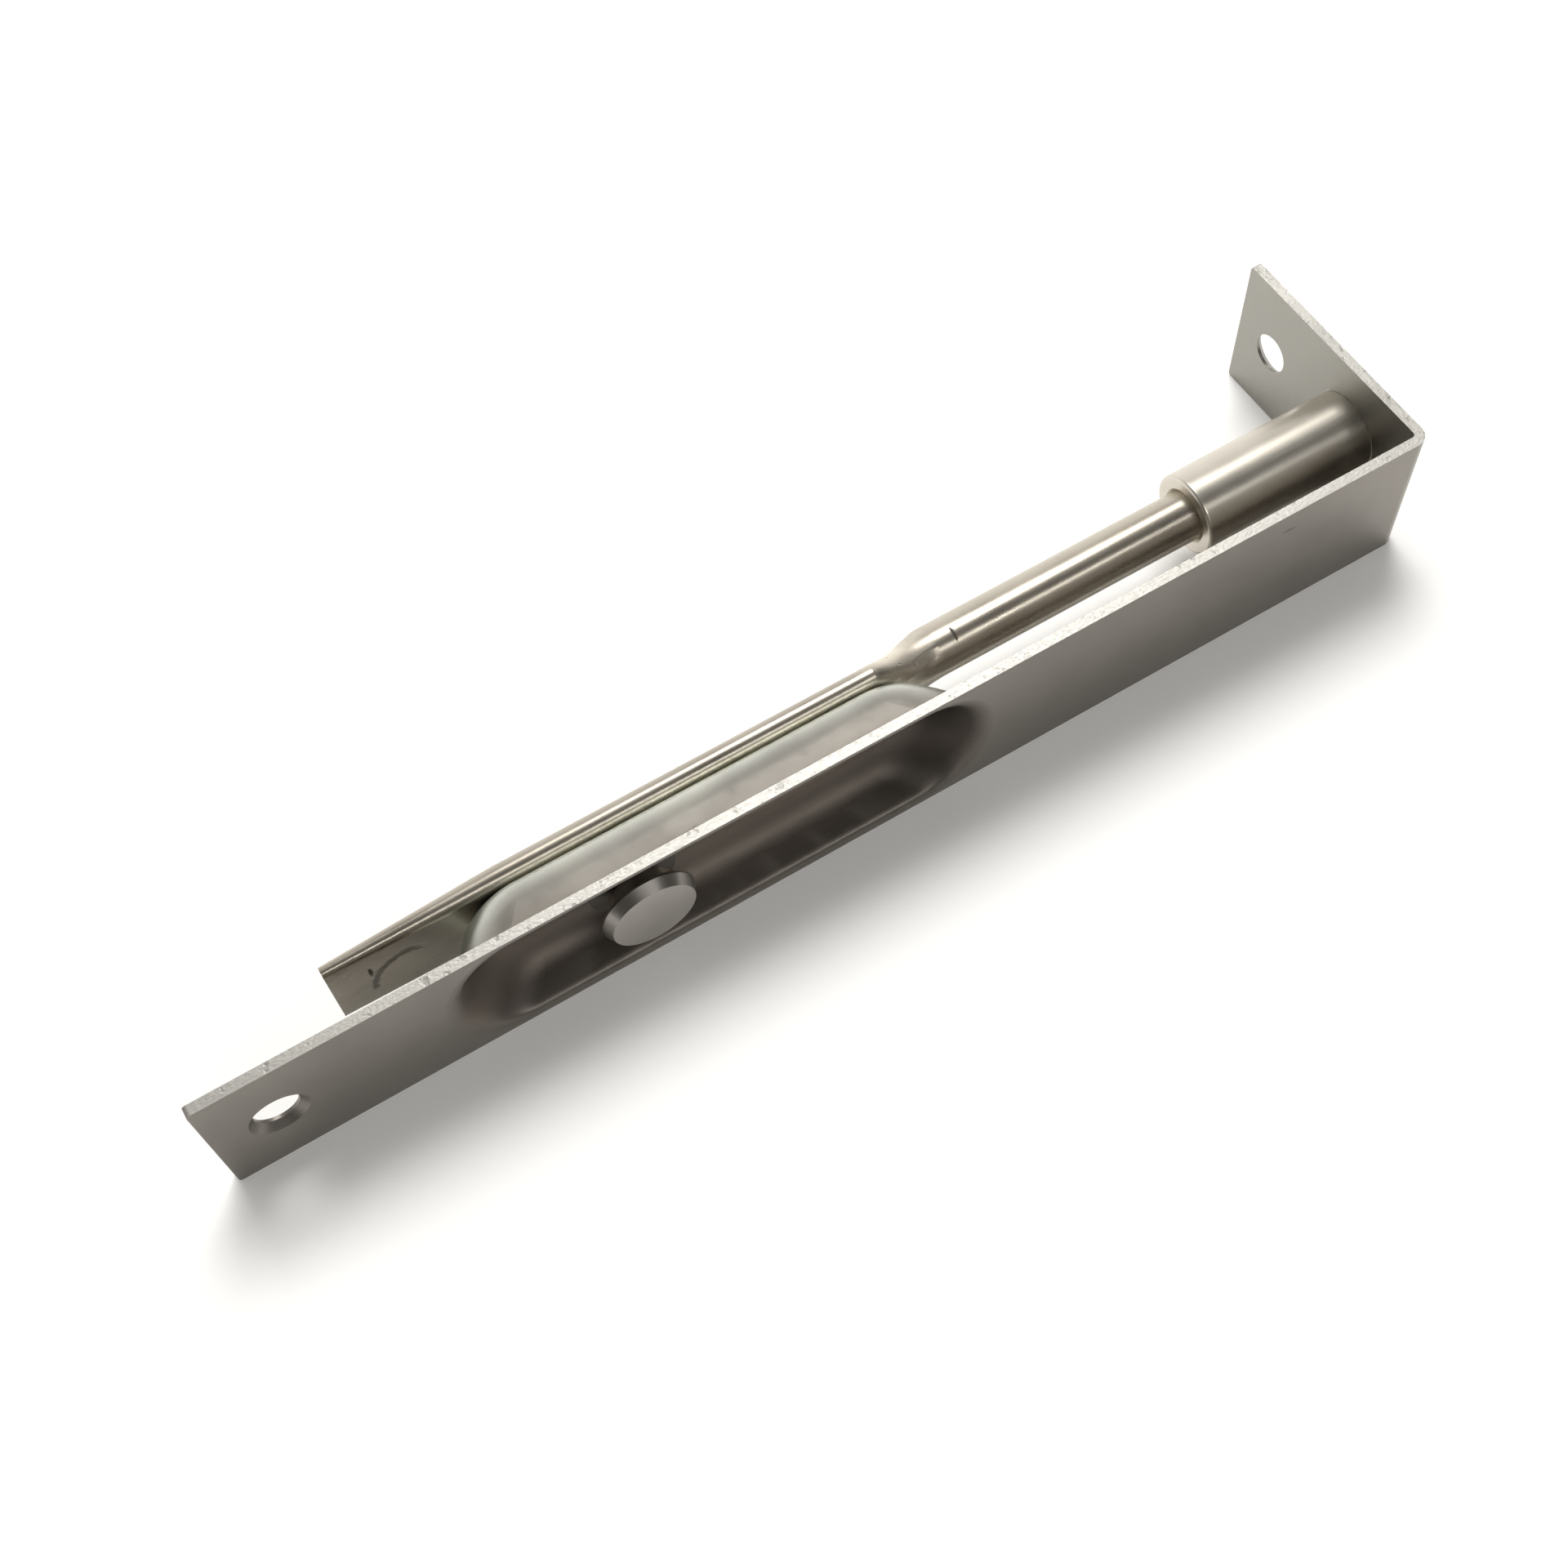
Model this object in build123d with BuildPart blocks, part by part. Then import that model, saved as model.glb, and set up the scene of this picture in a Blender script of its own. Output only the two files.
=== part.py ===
from build123d import *
from math import cos, pi, radians, sin, sqrt, tan
import os

# Flush bolt for the edge of a door: a sheet-steel faceplate with a finger trough and a bent-over flange,
# and a bolt of round bar, pressed flat behind the trough, with a round head. A knob riveted to the flat
# bar slides in the trough and works the bolt.
#
# Frame: +X is the way the bolt is thrown, +Y runs from the front of the faceplate to the bolt behind it,
# and +Z is up with the bolt standing on its long edges. The origin is on the bolt's axis, in the plane
# of the flange's outer face. The bolt is drawn back.

os.makedirs("parts", exist_ok=True)

# Faceplate and flange, one strip of sheet
plate_length = 150.0
plate_width = 19.0
sheet = 1.2
flange_length = 31.0
bend_radius = 0.5
corner_radius = 0.5
axis_depth = 11.15          # from the front face to the bolt's axis

# Finger trough pressed into the faceplate. Its walls leave the front face round a lip, run down at an
# angle to it and go over into the floor round a larger radius.
trough_start = 26.0         # from the faceplate's free end to the trough's near end
trough_length = 66.5
trough_width = 18.2
trough_depth = 6.9
trough_corner = 8.6         # radius of the mouth's corners
side_lip_radius = 0.9
side_wall_angle = 82.0
side_floor_radius = 4.4
end_lip_radius = 3.0
end_wall_angle = 50.0
end_floor_radius = 5.0
bulge_half_width = 9.2      # of the trough's back, where it leaves the faceplate
bulge_lip_radius = 0.05
bulge_floor_radius = 5.4    # the sheet thins to less than its full thickness in the side walls
trough_steps = 12           # sections drawn down the trough

# Screw holes, countersunk from outside
screw_hole_radius = 2.5
screw_land = 0.4            # straight wall left under the countersink
countersink_angle = 90.0
plate_screw_inset = 7.2     # from the faceplate's free end
flange_screw_inset = 6.0    # from the flange's free end

# Knob, one turned piece riveted to the bolt; depths are measured from the front face
knob_from_free_end = 49.75
knob_proud = 0.8
knob_face_radius = 4.9
knob_radius = 5.5
knob_taper = 1.2            # length of the tapered edge
knob_thick = 1.5
hub_radius = 3.9
hub_end_depth = 2.9
hub_chamfer = 0.3
stem_radius = 2.0
collar_radius = 5.15
collar_depth = 4.1
collar_thick = 0.8
foot_radius = 3.2           # rests on the trough's floor
foot_gap = 0.1
tenon_radius = 1.6          # through the bolt rod
tenon_clearance = 0.05
rivet_radius = 2.8
rivet_height = 0.9
rivet_round = 0.6

# Slot in the trough's floor, and the bolt's travel
throw = 20.0
slot_clearance = 0.35       # round the stem

# Bolt rod: round bar, pressed flat behind the trough
rod_radius = 3.05
flat_gap = 0.1              # between the trough's floor and the flat bar
flat_thick = 2.7
flat_crown = 0.03           # how far the flattened sides bulge
round_cap_angle = 60.0      # where the top and bottom arcs of the section end, round bar
flat_cap_angle = 85.0       # and flat bar
tail_thick = 1.4            # thinned end
tail_height = 10.8
tail_taper = 20.0
tail_lean = 0.3             # how far the thinned end leans towards the faceplate
tail_from_free_end = 17.2
neck_from_free_end = 82.9   # where the flat begins
neck_length = 8.7
neck_steps = 4              # sections drawn along the neck

# Bolt head
head_radius = 5.0
head_length = 23.8
head_setback = 0.2          # the drawn-back head stops this far inside the flange's outer face
head_edge_radius = 0.4
tip_chamfer = 0.8
socket_depth = 8.0
socket_mouth = 0.4          # chamfer round the socket
head_clearance = 0.1        # round the head in the flange

# Places that follow from the sizes above
free_end = -plate_length
front = -axis_depth
back = front + sheet
floor_front = front + trough_depth
floor_back = floor_front + sheet
countersink_radius = screw_hole_radius + sheet - screw_land
trough_centre = free_end + trough_start + trough_length / 2
trough_margin = trough_width / 2 - trough_corner
bulge_widening = bulge_half_width - trough_width / 2
end_bulge_lip = end_lip_radius - sheet
end_bulge_floor = end_floor_radius + sheet
knob_x = free_end + knob_from_free_end
flat_front = floor_back + flat_gap
flat_centre = flat_front + flat_crown + flat_thick / 2
flat_back = flat_centre + flat_thick / 2 + flat_crown
tail_centre = flat_centre - tail_lean
head_tip = -head_setback
head_back = head_tip - head_length
socket_end = head_back + socket_depth
tail_end = free_end + tail_from_free_end
neck_flat_end = free_end + neck_from_free_end
neck_round_end = neck_flat_end + neck_length
neck_cap_change = flat_cap_angle - round_cap_angle
tail_start = tail_end + tail_taper


def facing_back(y):
    """A plane across the depth at y, with sketch x along X and sketch y along Z."""
    return Plane.XZ.offset(-y)


def across(x):
    """A plane across the bolt at x, with sketch x along Y and sketch y along Z."""
    return Plane.YZ.offset(x)


# ---------------------------------------------------------------- faceplate

def run_in(depth, lip, wall_angle, floor):
    """How far in from the mouth a wall of the trough is at this depth."""
    angle = radians(wall_angle)
    turn = 1 - cos(angle)
    if depth < lip * turn:
        return sqrt(depth * (2 * lip - depth))
    wall_run = lip * sin(angle) + (depth - lip * turn) / tan(angle)
    above_floor = trough_depth - depth
    if above_floor > floor * turn:
        return wall_run
    wall_foot = lip * sin(angle) + (trough_depth - (lip + floor) * turn) / tan(angle)
    return wall_foot + floor * sin(angle) - sqrt(above_floor * (2 * floor - above_floor))


def trough_section(plane_y, depth, widening, side_lip, side_floor, end_lip, end_floor):
    """The trough's outline across the depth, this far below the face at plane_y."""
    side_run = run_in(depth, side_lip, side_wall_angle, side_floor)
    end_run = run_in(depth, end_lip, end_wall_angle, end_floor)
    width = trough_width + 2 * (widening - side_run)
    with BuildSketch(facing_back(plane_y + depth)) as section:
        with Locations((trough_centre, 0)):
            RectangleRounded(trough_length - 2 * end_run, width, width / 2 - trough_margin)
    return section.sketch


trough_depths = [trough_depth * (1 - cos(pi * step / trough_steps)) / 2 for step in range(trough_steps + 1)]
inside = (0, side_lip_radius, side_floor_radius, end_lip_radius, end_floor_radius)
outside = (bulge_widening, bulge_lip_radius, bulge_floor_radius, end_bulge_lip, end_bulge_floor)

with BuildPart() as pocket:
    loft([trough_section(front, depth, *inside) for depth in trough_depths])

with BuildPart() as bulge:
    loft([trough_section(back, depth, *outside) for depth in trough_depths])

with BuildPart() as face_plate:
    with BuildSketch() as strip:
        with BuildLine():
            Polyline(
                (free_end, front),
                (0, front),
                (0, front + flange_length),
                (-sheet, front + flange_length),
                (-sheet, back),
                (free_end, back),
                close=True,
            )
        make_face()
        fillet(strip.vertices().sort_by_distance((0, front))[0], bend_radius + sheet)
        fillet(strip.vertices().sort_by_distance((-sheet, back))[0], bend_radius)
    extrude(amount=plate_width / 2, both=True)
    fillet(face_plate.edges().filter_by(Axis.Y).group_by(Axis.X)[0], corner_radius)
    fillet(face_plate.edges().filter_by(Axis.X).group_by(Axis.Y)[-1], corner_radius)
    add(bulge.part)
    add(pocket.part, mode=Mode.SUBTRACT)
    with BuildSketch(facing_back(floor_front)):
        with Locations((knob_x + throw / 2, 0)):
            SlotCenterToCenter(throw, 2 * (stem_radius + slot_clearance))
    extrude(amount=floor_front - flat_front, mode=Mode.SUBTRACT)
    with BuildSketch(across(-sheet)):
        Circle(head_radius + head_clearance)
    extrude(amount=sheet, mode=Mode.SUBTRACT)
    with Locations(facing_back(front).location * Pos(free_end + plate_screw_inset, 0, 0)):
        CounterSinkHole(screw_hole_radius, countersink_radius, sheet, countersink_angle)
    with Locations(Plane.YZ.location * Pos(front + flange_length - flange_screw_inset, 0, 0)):
        CounterSinkHole(screw_hole_radius, countersink_radius, sheet, countersink_angle)

face_plate.part.label = "face_plate"
export_step(face_plate.part, "parts/face_plate.step")


# ---------------------------------------------------------------- bolt rod

def spread_height(thick):
    """Height of the bar pressed to this thickness, with the section of the round bar kept."""
    return thick + pi * (rod_radius**2 - thick**2 / 4) / thick


def bar_section(x, centre, thick, height, share):
    """The bar's section at x, drawn as four arcs: a circle when share is 0, a slot when it is 1."""
    cap = thick / 2
    belly = cap + flat_crown * share
    cap_angle = radians(round_cap_angle + neck_cap_change * share)
    side = cap * sin(cap_angle)
    top = height / 2
    shoulder = top - cap + cap * cos(cap_angle)
    with BuildSketch(across(x)) as section:
        with BuildLine():
            ThreePointArc((centre + side, -shoulder), (centre + belly, 0), (centre + side, shoulder))
            ThreePointArc((centre + side, shoulder), (centre, top), (centre - side, shoulder))
            ThreePointArc((centre - side, shoulder), (centre - belly, 0), (centre - side, -shoulder))
            ThreePointArc((centre - side, -shoulder), (centre, -top), (centre + side, -shoulder))
        make_face()
    return section.sketch


def neck_section(step):
    """One of the sections through which the round bar goes over into the flat bar."""
    run = step / neck_steps
    share = run * run * (3 - 2 * run)
    thick = 2 * rod_radius + (flat_thick - 2 * rod_radius) * share
    x = neck_round_end - neck_length * run
    return bar_section(x, flat_centre * share, thick, spread_height(thick), share)


with BuildPart() as bolt_rod:
    add(neck_section(0))
    extrude(amount=socket_end - neck_round_end, dir=(1, 0, 0))
    loft([neck_section(step) for step in range(neck_steps + 1)])
    add(neck_section(neck_steps))
    extrude(amount=neck_flat_end - tail_start, dir=(-1, 0, 0))
    loft([
        bar_section(tail_start, flat_centre, flat_thick, spread_height(flat_thick), 1),
        bar_section(tail_end, tail_centre, tail_thick, tail_height, 1),
    ])
    with BuildSketch(facing_back(flat_front)):
        with Locations((knob_x, 0)):
            Circle(tenon_radius + tenon_clearance)
    extrude(amount=flat_front - flat_back, mode=Mode.SUBTRACT)

bolt_rod.part.label = "bolt_rod"
export_step(bolt_rod.part, "parts/bolt_rod.step")


# ---------------------------------------------------------------- bolt head

with BuildPart() as bolt_head:
    with BuildSketch(across(head_back)):
        Circle(head_radius)
    extrude(amount=head_length)
    chamfer(bolt_head.edges().sort_by(Axis.X)[-1], tip_chamfer)
    fillet(bolt_head.edges().sort_by(Axis.X)[0], head_edge_radius)
    with BuildSketch(across(head_back)):
        Circle(rod_radius)
    extrude(amount=socket_depth, mode=Mode.SUBTRACT)
    chamfer(bolt_head.edges().group_by(Axis.X)[0].sort_by(SortBy.RADIUS)[0], socket_mouth)

bolt_head.part.label = "bolt_head"
export_step(bolt_head.part, "parts/bolt_head.step")


# ---------------------------------------------------------------- knob

knob_front = front - knob_proud
hub_front = knob_front + knob_thick
hub_end = front + hub_end_depth
collar_front = front + collar_depth
collar_back = collar_front + collar_thick
foot_end = floor_front - foot_gap

with BuildPart() as knob:
    with BuildSketch() as half_section:
        with BuildLine():
            Polyline(
                (knob_x, knob_front),
                (knob_x + knob_face_radius, knob_front),
                (knob_x + knob_radius, knob_front + knob_taper),
                (knob_x + knob_radius, hub_front),
                (knob_x + hub_radius, hub_front),
                (knob_x + hub_radius, hub_end - hub_chamfer),
                (knob_x + hub_radius - hub_chamfer, hub_end),
                (knob_x + stem_radius, hub_end),
                (knob_x + stem_radius, collar_front),
                (knob_x + collar_radius, collar_front),
                (knob_x + collar_radius, collar_back),
                (knob_x + foot_radius, collar_back),
                (knob_x + foot_radius, foot_end),
                (knob_x + stem_radius, foot_end),
                (knob_x + stem_radius, flat_front),
                (knob_x + tenon_radius, flat_front),
                (knob_x + tenon_radius, flat_back),
                (knob_x + rivet_radius, flat_back),
                (knob_x + rivet_radius, flat_back + rivet_height),
                (knob_x, flat_back + rivet_height),
                close=True,
            )
        make_face()
        rivet_corner = (knob_x + rivet_radius, flat_back + rivet_height)
        fillet(half_section.vertices().sort_by_distance(rivet_corner)[0], rivet_round)
    revolve(axis=Axis((knob_x, 0, 0), (0, 1, 0)))

knob.part.label = "knob"
export_step(knob.part, "parts/knob.step")
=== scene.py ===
import bmesh
import bpy
from mathutils import Matrix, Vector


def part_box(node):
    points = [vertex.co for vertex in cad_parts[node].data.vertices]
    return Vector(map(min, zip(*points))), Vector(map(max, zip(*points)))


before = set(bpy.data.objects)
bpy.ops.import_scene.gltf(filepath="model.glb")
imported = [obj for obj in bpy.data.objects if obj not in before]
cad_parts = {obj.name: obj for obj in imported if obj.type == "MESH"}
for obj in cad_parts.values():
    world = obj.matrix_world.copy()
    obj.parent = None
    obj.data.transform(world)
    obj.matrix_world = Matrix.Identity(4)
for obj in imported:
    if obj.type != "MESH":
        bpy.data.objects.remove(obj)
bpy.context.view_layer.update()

MM = 0.001

# The finger trough as it is drawn into the faceplate, in millimetres
TROUGH_START = 26.0
TROUGH_LENGTH = 66.5
TROUGH_WIDTH = 18.2
TROUGH_CORNER = 8.6
TROUGH_DEPTH = 6.9

plate_low, plate_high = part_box("face_plate")
rod_low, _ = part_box("bolt_rod")
knob_low, knob_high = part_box("knob")
front = plate_low.y
half_width = plate_high.z
trough_x = plate_low.x + (TROUGH_START + TROUGH_LENGTH / 2) * MM
floor_front = front + TROUGH_DEPTH * MM
knob_x = (knob_low.x + knob_high.x) / 2


# ---------------------------------------------------------------- shader arithmetic


class Number:
    """A shader number. Python arithmetic on it adds Math nodes to its tree."""

    def __init__(self, sheet, socket):
        self.sheet = sheet
        self.socket = socket

    def math(self, operation, *terms, clamp=False):
        return self.sheet.node("ShaderNodeMath", {"operation": operation, "use_clamp": clamp},
                               dict(enumerate(terms)))

    def __add__(self, other):
        return self.math("ADD", self, other)

    def __radd__(self, other):
        return self.math("ADD", other, self)

    def __sub__(self, other):
        return self.math("SUBTRACT", self, other)

    def __rsub__(self, other):
        return self.math("SUBTRACT", other, self)

    def __mul__(self, other):
        return self.math("MULTIPLY", self, other)

    def __rmul__(self, other):
        return self.math("MULTIPLY", other, self)

    def __abs__(self):
        return self.math("ABSOLUTE", self)

    def __pow__(self, power):
        return self.math("POWER", self, power)

    def above(self, level, soft):
        """0 below level, 1 above it, rising over a band soft wide."""
        return self.math("MULTIPLY_ADD", self, 1 / soft, 0.5 - level / soft, clamp=True)

    def below(self, level, soft):
        """1 below level, 0 above it, falling over a band soft wide."""
        return self.math("MULTIPLY_ADD", self, -1 / soft, 0.5 + level / soft, clamp=True)

    def most(self, other):
        return self.math("MAXIMUM", self, other)


class NodeSheet:
    """A node tree to draw a finish or a sky on."""

    def __init__(self, tree):
        self.tree = tree
        tree.nodes.clear()

    def node(self, kind, settings=None, inputs=None, output=0):
        """Adds a node, sets it up, feeds its sockets and returns one of its outputs."""
        node = self.tree.nodes.new(kind)
        for key, value in (settings or {}).items():
            setattr(node, key, value)
        for key, value in (inputs or {}).items():
            if isinstance(value, Number):
                self.tree.links.new(value.socket, node.inputs[key])
            else:
                node.inputs[key].default_value = value
        return Number(self, node.outputs[output]) if len(node.outputs) else None

    def place(self):
        return self.node("ShaderNodeTexCoord", output="Object")

    def split(self, vector):
        """The three numbers in a vector."""
        parts = self.node("ShaderNodeSeparateXYZ", None, {0: vector})
        return [Number(self, socket) for socket in parts.socket.node.outputs]

    def stretched(self, vector, scale):
        """The vector with each axis multiplied by its own number."""
        return self.node("ShaderNodeVectorMath", {"operation": "MULTIPLY"}, {0: vector, 1: scale})

    def noise(self, vector, scale, detail=3.0, rough=0.55):
        """Cloudy noise about 0, between -0.5 and 0.5."""
        return self.node("ShaderNodeTexNoise", None,
                         {"Vector": vector, "Scale": scale, "Detail": detail, "Roughness": rough}) - 0.5

    def away(self, vector, centre, radii):
        """Distance from a centre, as a multiple of the radii of the ellipsoid round it."""
        offset = self.node("ShaderNodeVectorMath", {"operation": "SUBTRACT"}, {0: vector, 1: centre})
        offset = self.stretched(offset, [1 / radius for radius in radii])
        return self.node("ShaderNodeVectorMath", {"operation": "LENGTH"}, {0: offset}, output=1)

    def blend(self, share, colour_a, colour_b):
        """colour_a where share is 0, colour_b where it is 1."""
        return self.node("ShaderNodeMix", {"data_type": "RGBA"},
                         {0: share, 6: colour_a, 7: colour_b}, output=2)

    def shade(self, colour, factor):
        """The colour made lighter or darker by a number."""
        grey = self.node("ShaderNodeCombineXYZ", None, {0: factor, 1: factor, 2: factor})
        return self.node("ShaderNodeMix", {"data_type": "RGBA", "blend_type": "MULTIPLY"},
                         {0: 1.0, 6: colour, 7: grey}, output=2)


def rgb(red, green, blue):
    return (red, green, blue, 1.0)


def metal(name, draw):
    """A metal material: draw(sheet) returns its colour, roughness and bump height in metres."""
    material = bpy.data.materials.new(name)
    material.use_nodes = True
    sheet = NodeSheet(material.node_tree)
    colour, roughness, height = draw(sheet)
    normal = sheet.node("ShaderNodeBump", None, {"Strength": 1.0, "Distance": 1.0, "Height": height})
    surface = sheet.node("ShaderNodeBsdfPrincipled", None, {
        "Base Color": colour, "Roughness": roughness, "Metallic": 1.0, "Normal": normal,
    })
    sheet.node("ShaderNodeOutputMaterial", None, {"Surface": surface})
    return material


# ---------------------------------------------------------------- finishes

def rounded_box_distance(x, z, half_x, half_z, radius):
    """How far a place is outside a rounded rectangle, negative inside it."""
    over_x = (abs(x) - (half_x - radius)).most(0.0)
    over_z = (abs(z) - (half_z - radius)).most(0.0)
    return (over_x * over_x + over_z * over_z) ** 0.5 - radius


def satin_sheet(sheet):
    """Satin strip: darker inside the trough, with painted shade under its upper lip and at its far end
    and a painted highlight streak low in it, painted light that makes its back pale, grainy and bright
    on the sheared edges.
    """
    place = sheet.place()
    x, y, z = sheet.split(place)
    rolling = sheet.noise(sheet.stretched(place, (0.08, 1.0, 1.0)), 2600.0, 2.0)
    clouds = sheet.noise(place, 110.0, 4.0)
    stains = sheet.noise(sheet.stretched(place, (0.6, 1.0, 1.0)), 45.0, 3.0)
    grain = sheet.noise(sheet.stretched(place, (0.5, 1.0, 1.0)), 3800.0, 2.0)
    chips = sheet.noise(place, 900.0, 3.0).above(0.16, 0.12)
    drag = sheet.noise(sheet.stretched(place, (0.12, 1.0, 1.0)), 520.0, 3.0)

    trough = rounded_box_distance(x - trough_x, z, TROUGH_LENGTH / 2 * MM, TROUGH_WIDTH / 2 * MM,
                                  TROUGH_CORNER * MM)
    drawn = trough.below(-1.2 * MM, 2.4 * MM)
    # The back of the trough is what faces away from a place inside it
    from_inside = sheet.node("ShaderNodeVectorMath", {"operation": "SUBTRACT"},
                             {0: place, 1: (trough_x, front + 2.5 * MM, 0.0)})
    facing = sheet.node("ShaderNodeTexCoord", output="Normal")
    outward = sheet.node("ShaderNodeVectorMath", {"operation": "DOT_PRODUCT"},
                         {0: from_inside, 1: facing}, output=1)
    behind = y.above(front + 1.4 * MM, 0.3 * MM) * outward.above(0.0, 0.2 * MM)
    flange = x.above(-1.5 * MM, 0.6 * MM)
    sheared = abs(z).above(half_width - 0.05 * MM, 0.06 * MM).most(
        x.below(plate_low.x + 0.05 * MM, 0.06 * MM)).most(
        y.above(plate_high.y - 0.05 * MM, 0.06 * MM))
    # Painted shade: the far end of the trough, in front of its back, is darkened.
    far_end_shade = x.above(trough_x + 22.0 * MM, 12.0 * MM) * drawn * y.below(front + 6.0 * MM, 3.0 * MM)
    # Painted highlight: a pale streak low in the trough, ragged by the drag noise.
    highlight_streak = sheet.away(place, (trough_x + 8.0 * MM, floor_front, -3.2 * MM),
                        (14.0 * MM, 4.0 * MM, 1.5 * MM))
    highlight_streak = (highlight_streak + 1.2 * drag).below(0.9, 0.9) * (1.0 - behind)
    worn = sheet.away(place, (trough_x, front, 0.0), (30.0 * MM, 12.0 * MM, 9.0 * MM)).below(0.9, 0.5)
    scratch = sheet.away(place, (-18.9 * MM, front, 6.4 * MM), (0.9 * MM, 2.0 * MM, 0.16 * MM))
    scratch = scratch.below(1.0, 0.5)

    colour = sheet.blend(clouds.above(0.0, 0.5), rgb(0.245, 0.225, 0.202), rgb(0.285, 0.263, 0.237))
    colour = sheet.blend(drawn, colour, rgb(0.25, 0.215, 0.185))
    colour = sheet.blend(highlight_streak * drawn, colour, rgb(0.62, 0.52, 0.42))
    # Painted light: the back of the trough is coloured far paler than the same sheet in front.
    colour = sheet.blend(drawn * behind, colour, rgb(0.68, 0.715, 0.655))
    colour = sheet.blend(flange, colour, rgb(0.34, 0.33, 0.30))
    colour = sheet.blend(sheared, colour, rgb(0.60, 0.585, 0.55))
    wear = (0.16 + 0.25 * drawn) * stains
    colour = sheet.shade(colour, 1.0 + wear + 0.7 * (drag * worn * drawn) - 0.5 * scratch)
    colour = sheet.shade(colour, 1.0 - 0.5 * (far_end_shade * (1.0 - behind)) + 0.8 * (clouds * behind))
    colour = sheet.shade(colour, 1.0 - 0.30 * (chips * sheared))
    # Painted shade: the deep upper part of the trough interior, under the lip, is darkened.
    painted_upper_shade = z.above(0.5 * MM, 7.0 * MM) * y.above(front + 1.8 * MM, 2.4 * MM) * drawn * (1.0 - behind)
    colour = sheet.shade(colour, 1.0 - 0.65 * painted_upper_shade)

    satin = 0.42 + 0.10 * clouds + 0.06 * rolling
    smooth = 0.56 - 0.26 * behind + 0.10 * clouds + 0.08 * drag
    roughness = satin + (smooth - satin) * drawn
    roughness = roughness + (0.46 + 0.25 * grain - roughness) * sheared
    height = (rolling * (1.0 - 0.6 * drawn) * 0.0016 + clouds * 0.012 + drag * drawn * 0.006) * MM
    height = height + (grain * 0.035 - chips * 0.02) * sheared * MM - 0.02 * MM * scratch
    return colour, roughness, height


def polished_bar(sheet):
    """Polished bar: draw lines along it, pits at the neck, a nick, the marks of the press with painted
    shade along them, and a painted highlight at the neck.
    """
    place = sheet.place()
    x, y, z = sheet.split(place)
    lines = sheet.noise(sheet.stretched(place, (0.03, 1.0, 1.0)), 2400.0, 3.0)
    clouds = sheet.noise(place, 160.0, 3.0)
    ragged = sheet.noise(place, 1500.0, 2.0)
    smears = sheet.noise(sheet.stretched(place, (0.25, 1.0, 1.0)), 420.0, 3.0)

    pits = sheet.noise(place, 1300.0, 1.0).above(0.20, 0.05) * z.above(2.2 * MM, 0.5 * MM)
    pits = pits * abs(x + 64.0 * MM).below(4.0 * MM, 2.0 * MM)
    nick = sheet.away(place, (-56.1 * MM, -0.8 * MM, 2.9 * MM), (0.16 * MM, 0.8 * MM, 0.8 * MM))
    nick = (nick + ragged).below(1.0, 0.5)
    # The press mark is a real dent in the bump. Its ring is also darkened in colour as painted shade.
    press_dent_and_shade = sheet.away(place, (-124.5 * MM, rod_low.y, -2.2 * MM), (4.1 * MM, 4.0 * MM, 4.3 * MM))
    press_dent_and_shade = abs(press_dent_and_shade - 1.0 + 0.2 * ragged).below(0.09, 0.09) * z.above(-2.3 * MM, 0.6 * MM)
    press_dent_and_shade = press_dent_and_shade * x.below(-122.9 * MM, 1.2 * MM) * y.below(-0.9 * MM, 0.6 * MM)
    tap = sheet.away(place, (-128.4 * MM, rod_low.y, 1.4 * MM), (0.25 * MM, 1.0 * MM, 1.0 * MM))
    tap = (tap + ragged).below(1.0, 0.5)
    marks = (0.4 * pits).most(nick).most(tap)
    flat = (x + 6.0 * MM * clouds).below(-68.0 * MM, 7.0 * MM)
    fold = abs(abs(z) - 4.9 * MM).below(0.5 * MM, 0.5 * MM) * flat

    colour = sheet.blend(clouds.above(0.0, 0.6), rgb(0.50, 0.455, 0.385), rgb(0.58, 0.535, 0.46))
    # Painted highlight: the colour is lightened at the neck, where the flat bar turns round.
    neck = sheet.away(place, (-64.5 * MM, -1.0 * MM, 3.2 * MM), (5.5 * MM, 3.0 * MM, 3.4 * MM))
    neck = neck.below(0.85, 0.6)
    colour = sheet.shade(colour, (1.0 - 0.14 * flat) * (1.0 + 0.45 * neck))
    colour = sheet.shade(colour, 1.0 - 0.75 * marks - 0.55 * press_dent_and_shade + 0.30 * (smears * flat))
    roughness = 0.29 + 0.08 * neck + 0.12 * lines + 0.12 * clouds + 0.01 * flat
    roughness = roughness + 0.12 * (smears * flat) + 0.2 * marks
    height = (lines * 0.0020 + clouds * 0.006 + smears * flat * 0.010 + ragged * fold * 0.03) * MM
    height = height - (0.05 * marks + 0.12 * press_dent_and_shade) * MM
    return colour, roughness, height


def polished_head(sheet):
    """Turned and polished bar with faint lines along it."""
    place = sheet.place()
    lines = sheet.noise(sheet.stretched(place, (0.05, 1.0, 1.0)), 2000.0, 3.0)
    clouds = sheet.noise(place, 180.0, 3.0)
    colour = sheet.blend(clouds.above(0.0, 0.6), rgb(0.62, 0.58, 0.51), rgb(0.72, 0.68, 0.60))
    roughness = 0.33 + 0.12 * lines + 0.08 * clouds
    height = (lines * 0.0022 + clouds * 0.005) * MM
    return colour, roughness, height


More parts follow.
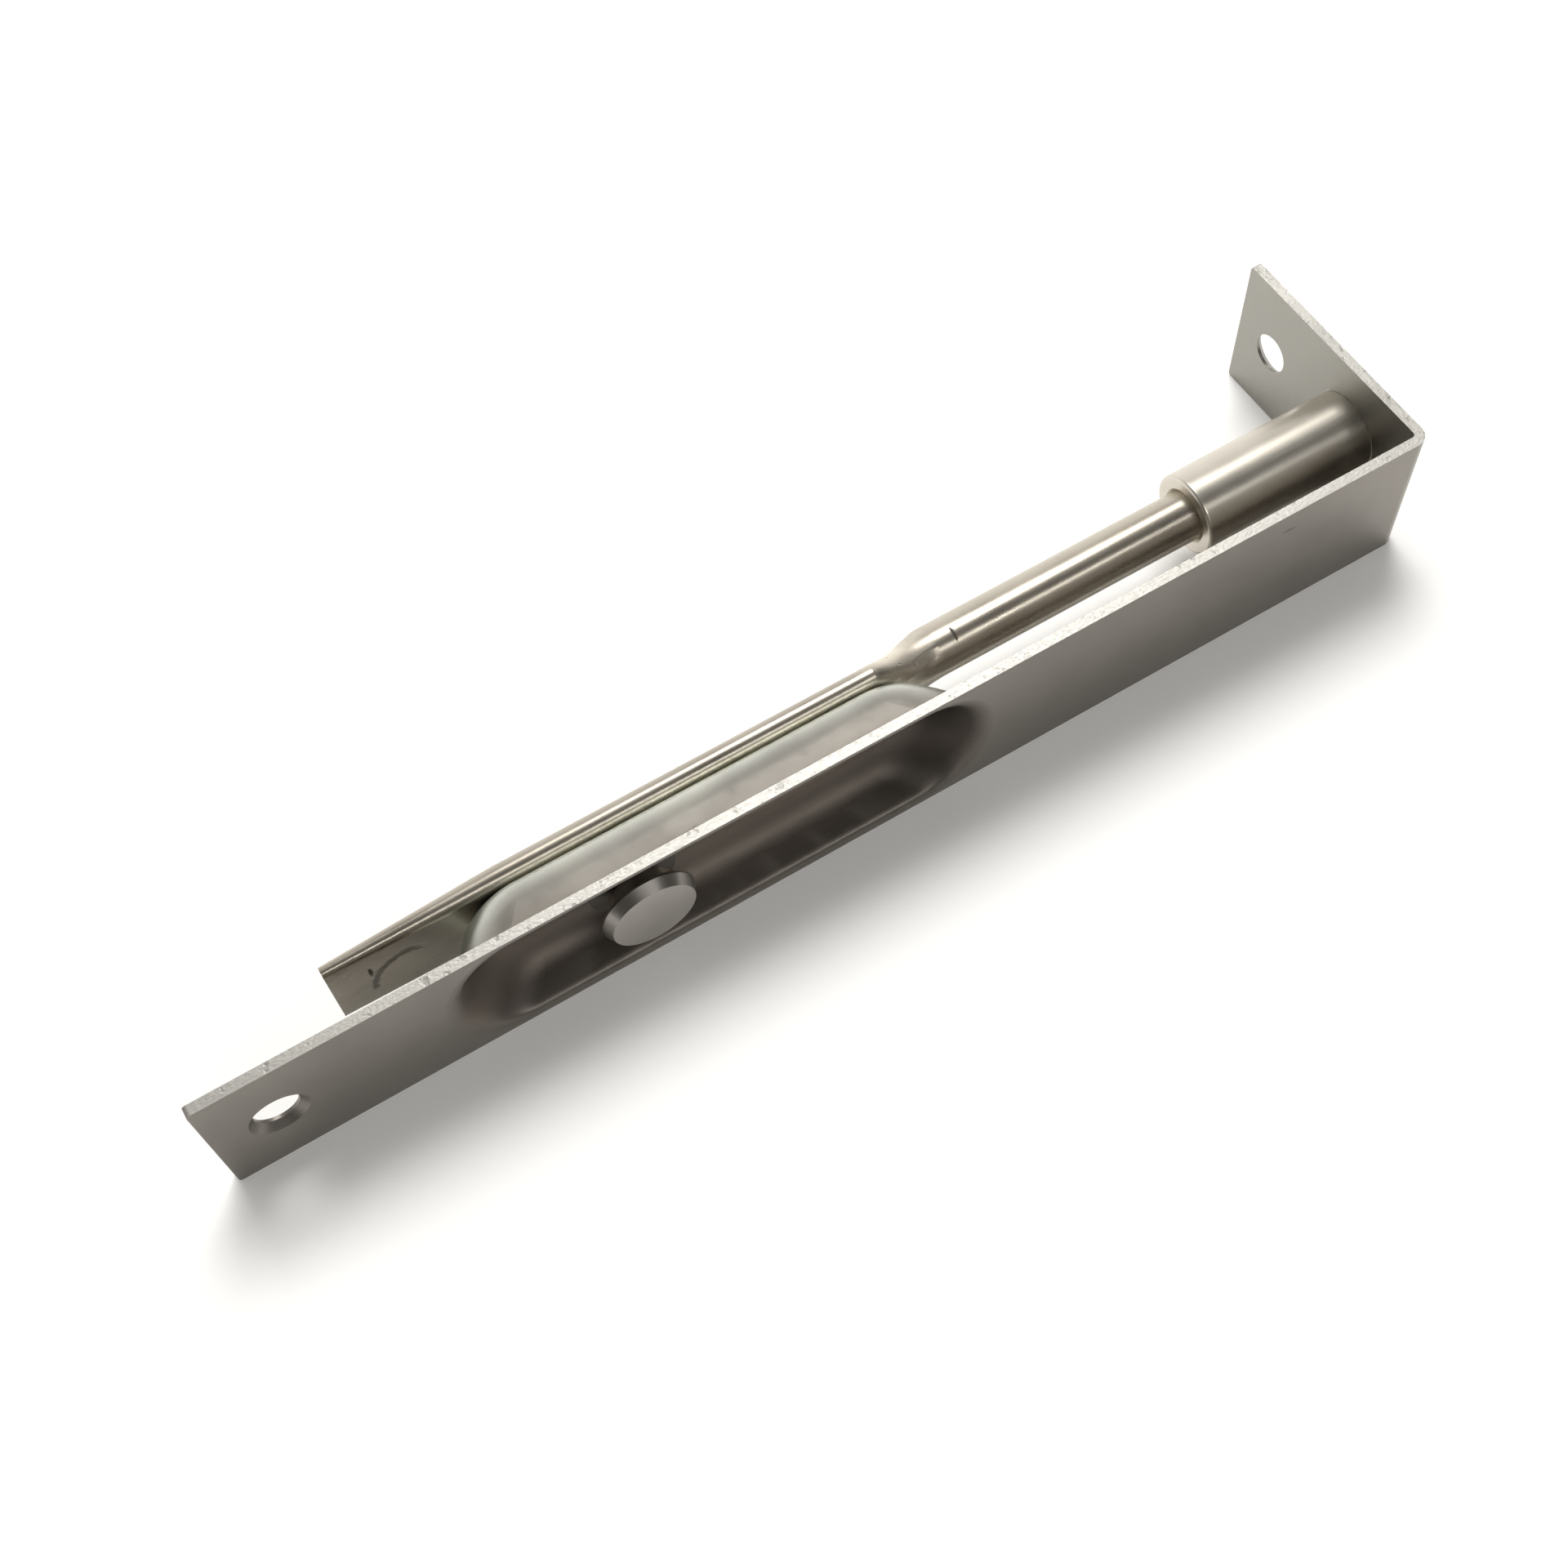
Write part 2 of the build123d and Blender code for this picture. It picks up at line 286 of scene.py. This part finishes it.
def turned_knob(sheet):
    """Satin turned steel with faint rings, with painted shade behind the head."""
    place = sheet.place()
    x, y, z = sheet.split(place)
    reach = ((x - knob_x) ** 2.0 + z ** 2.0) ** 0.5
    rings = sheet.noise(sheet.node("ShaderNodeCombineXYZ", None, {0: reach}), 5200.0, 1.0)
    clouds = sheet.noise(place, 260.0, 3.0)
    colour = sheet.blend(clouds.above(0.0, 0.6), rgb(0.40, 0.375, 0.345), rgb(0.45, 0.425, 0.39))
    # Painted shade: the knob darkens towards its back, behind the head.
    colour = sheet.shade(colour, 1.0 - 0.6 * y.above(knob_low.y + 3.6 * MM, 1.6 * MM))
    roughness = 0.34 + 0.08 * clouds + 0.05 * rings
    height = (rings * 0.0018 + clouds * 0.004) * MM
    return colour, roughness, height


finishes = {
    "face_plate": metal("satin sheet", satin_sheet),
    "bolt_rod": metal("polished bar", polished_bar),
    "bolt_head": metal("polished head", polished_head),
    "knob": metal("turned knob", turned_knob),
}
for name, material in finishes.items():
    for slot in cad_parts[name].material_slots:
        slot.material = material


# ---------------------------------------------------------------- floor, light and camera


def floor_paint(sheet):
    surface = sheet.node("ShaderNodeBsdfPrincipled", None, {
        "Base Color": rgb(0.925, 0.925, 0.92), "Roughness": 0.6, "Specular IOR Level": 0.2,
    })
    sheet.node("ShaderNodeOutputMaterial", None, {"Surface": surface})


floor_mesh = bpy.data.meshes.new("floor")
shape = bmesh.new()
bmesh.ops.create_grid(shape, x_segments=1, y_segments=1, size=2.0,
                      matrix=Matrix.Translation((plate_low.x / 2, 0, plate_low.z)))
shape.to_mesh(floor_mesh)
shape.free()
floor_material = bpy.data.materials.new("white floor")
floor_material.use_nodes = True
floor_paint(NodeSheet(floor_material.node_tree))
floor_mesh.materials.append(floor_material)
floor = bpy.data.objects.new("floor", floor_mesh)
bpy.context.scene.collection.objects.link(floor)

world = bpy.data.worlds.new("room")
world.use_nodes = True
bpy.context.scene.world = world
sky = NodeSheet(world.node_tree)
_, toward_y, toward_z = sky.split(sky.node("ShaderNodeTexCoord", output="Generated"))
# side goes from -1 in front of the faceplate, over 0 straight up, to 1 behind it. The room is dark in
# front and brightens behind in steps: how much brighter, about which side, and over how wide a band.
side = toward_y * (toward_y * toward_y + toward_z * toward_z + 0.0001) ** -0.5
glow = 0.08
for rise, level, soft in ((0.18, -0.15, 0.3), (0.12, 0.40, 0.4), (0.75, 0.84, 0.22)):
    glow = glow + rise * side.above(level, soft)
sky.node("ShaderNodeOutputWorld", None, {
    "Surface": sky.node("ShaderNodeBackground", None, {
        "Color": rgb(1.0, 0.985, 0.96), "Strength": glow,
    }),
})


def softbox(name, place, size_x, size_y, watts, mirrored=True):
    """A rectangular lamp that faces the middle of the bolt. Metal reflects it only if mirrored."""
    lamp = bpy.data.lights.new(name, "AREA")
    lamp.shape = "RECTANGLE"
    lamp.size = size_x
    lamp.size_y = size_y
    lamp.energy = watts
    lamp.color = (1.0, 0.985, 0.955)
    thing = bpy.data.objects.new(name, lamp)
    middle = (plate_low + plate_high) / 2
    spot = middle + type(middle)(place)
    aim = (spot - middle).to_track_quat("Z", "Y").to_matrix().to_4x4()
    thing.matrix_world = Matrix.Translation(spot) @ aim
    thing.visible_glossy = mirrored
    bpy.context.scene.collection.objects.link(thing)


softbox("window", (0.22, 0.34, 0.68), 0.34, 0.30, 2.0)
softbox("back fill", (0.10, 0.36, 0.72), 0.45, 0.40, 4.3, mirrored=False)
softbox("front fill", (-0.10, -0.50, 0.60), 0.70, 0.60, 1.5, mirrored=False)
softbox("lamp", (0.10, -0.50, 0.60), 0.60, 0.05, 0.9)

lens = bpy.data.cameras.new("camera")
lens.lens = 47.1
lens.clip_start = 0.01
camera = bpy.data.objects.new("camera", lens)
camera.matrix_world = Matrix((
    (0.85759, 0.46695, -0.21563, -0.12840),
    (-0.51243, 0.73967, -0.43623, -0.10183),
    (-0.04420, 0.48460, 0.87362, 0.19259),
    (0.0, 0.0, 0.0, 1.0),
))
bpy.context.scene.collection.objects.link(camera)
bpy.context.scene.camera = camera
bpy.context.scene.view_settings.view_transform = "Standard"
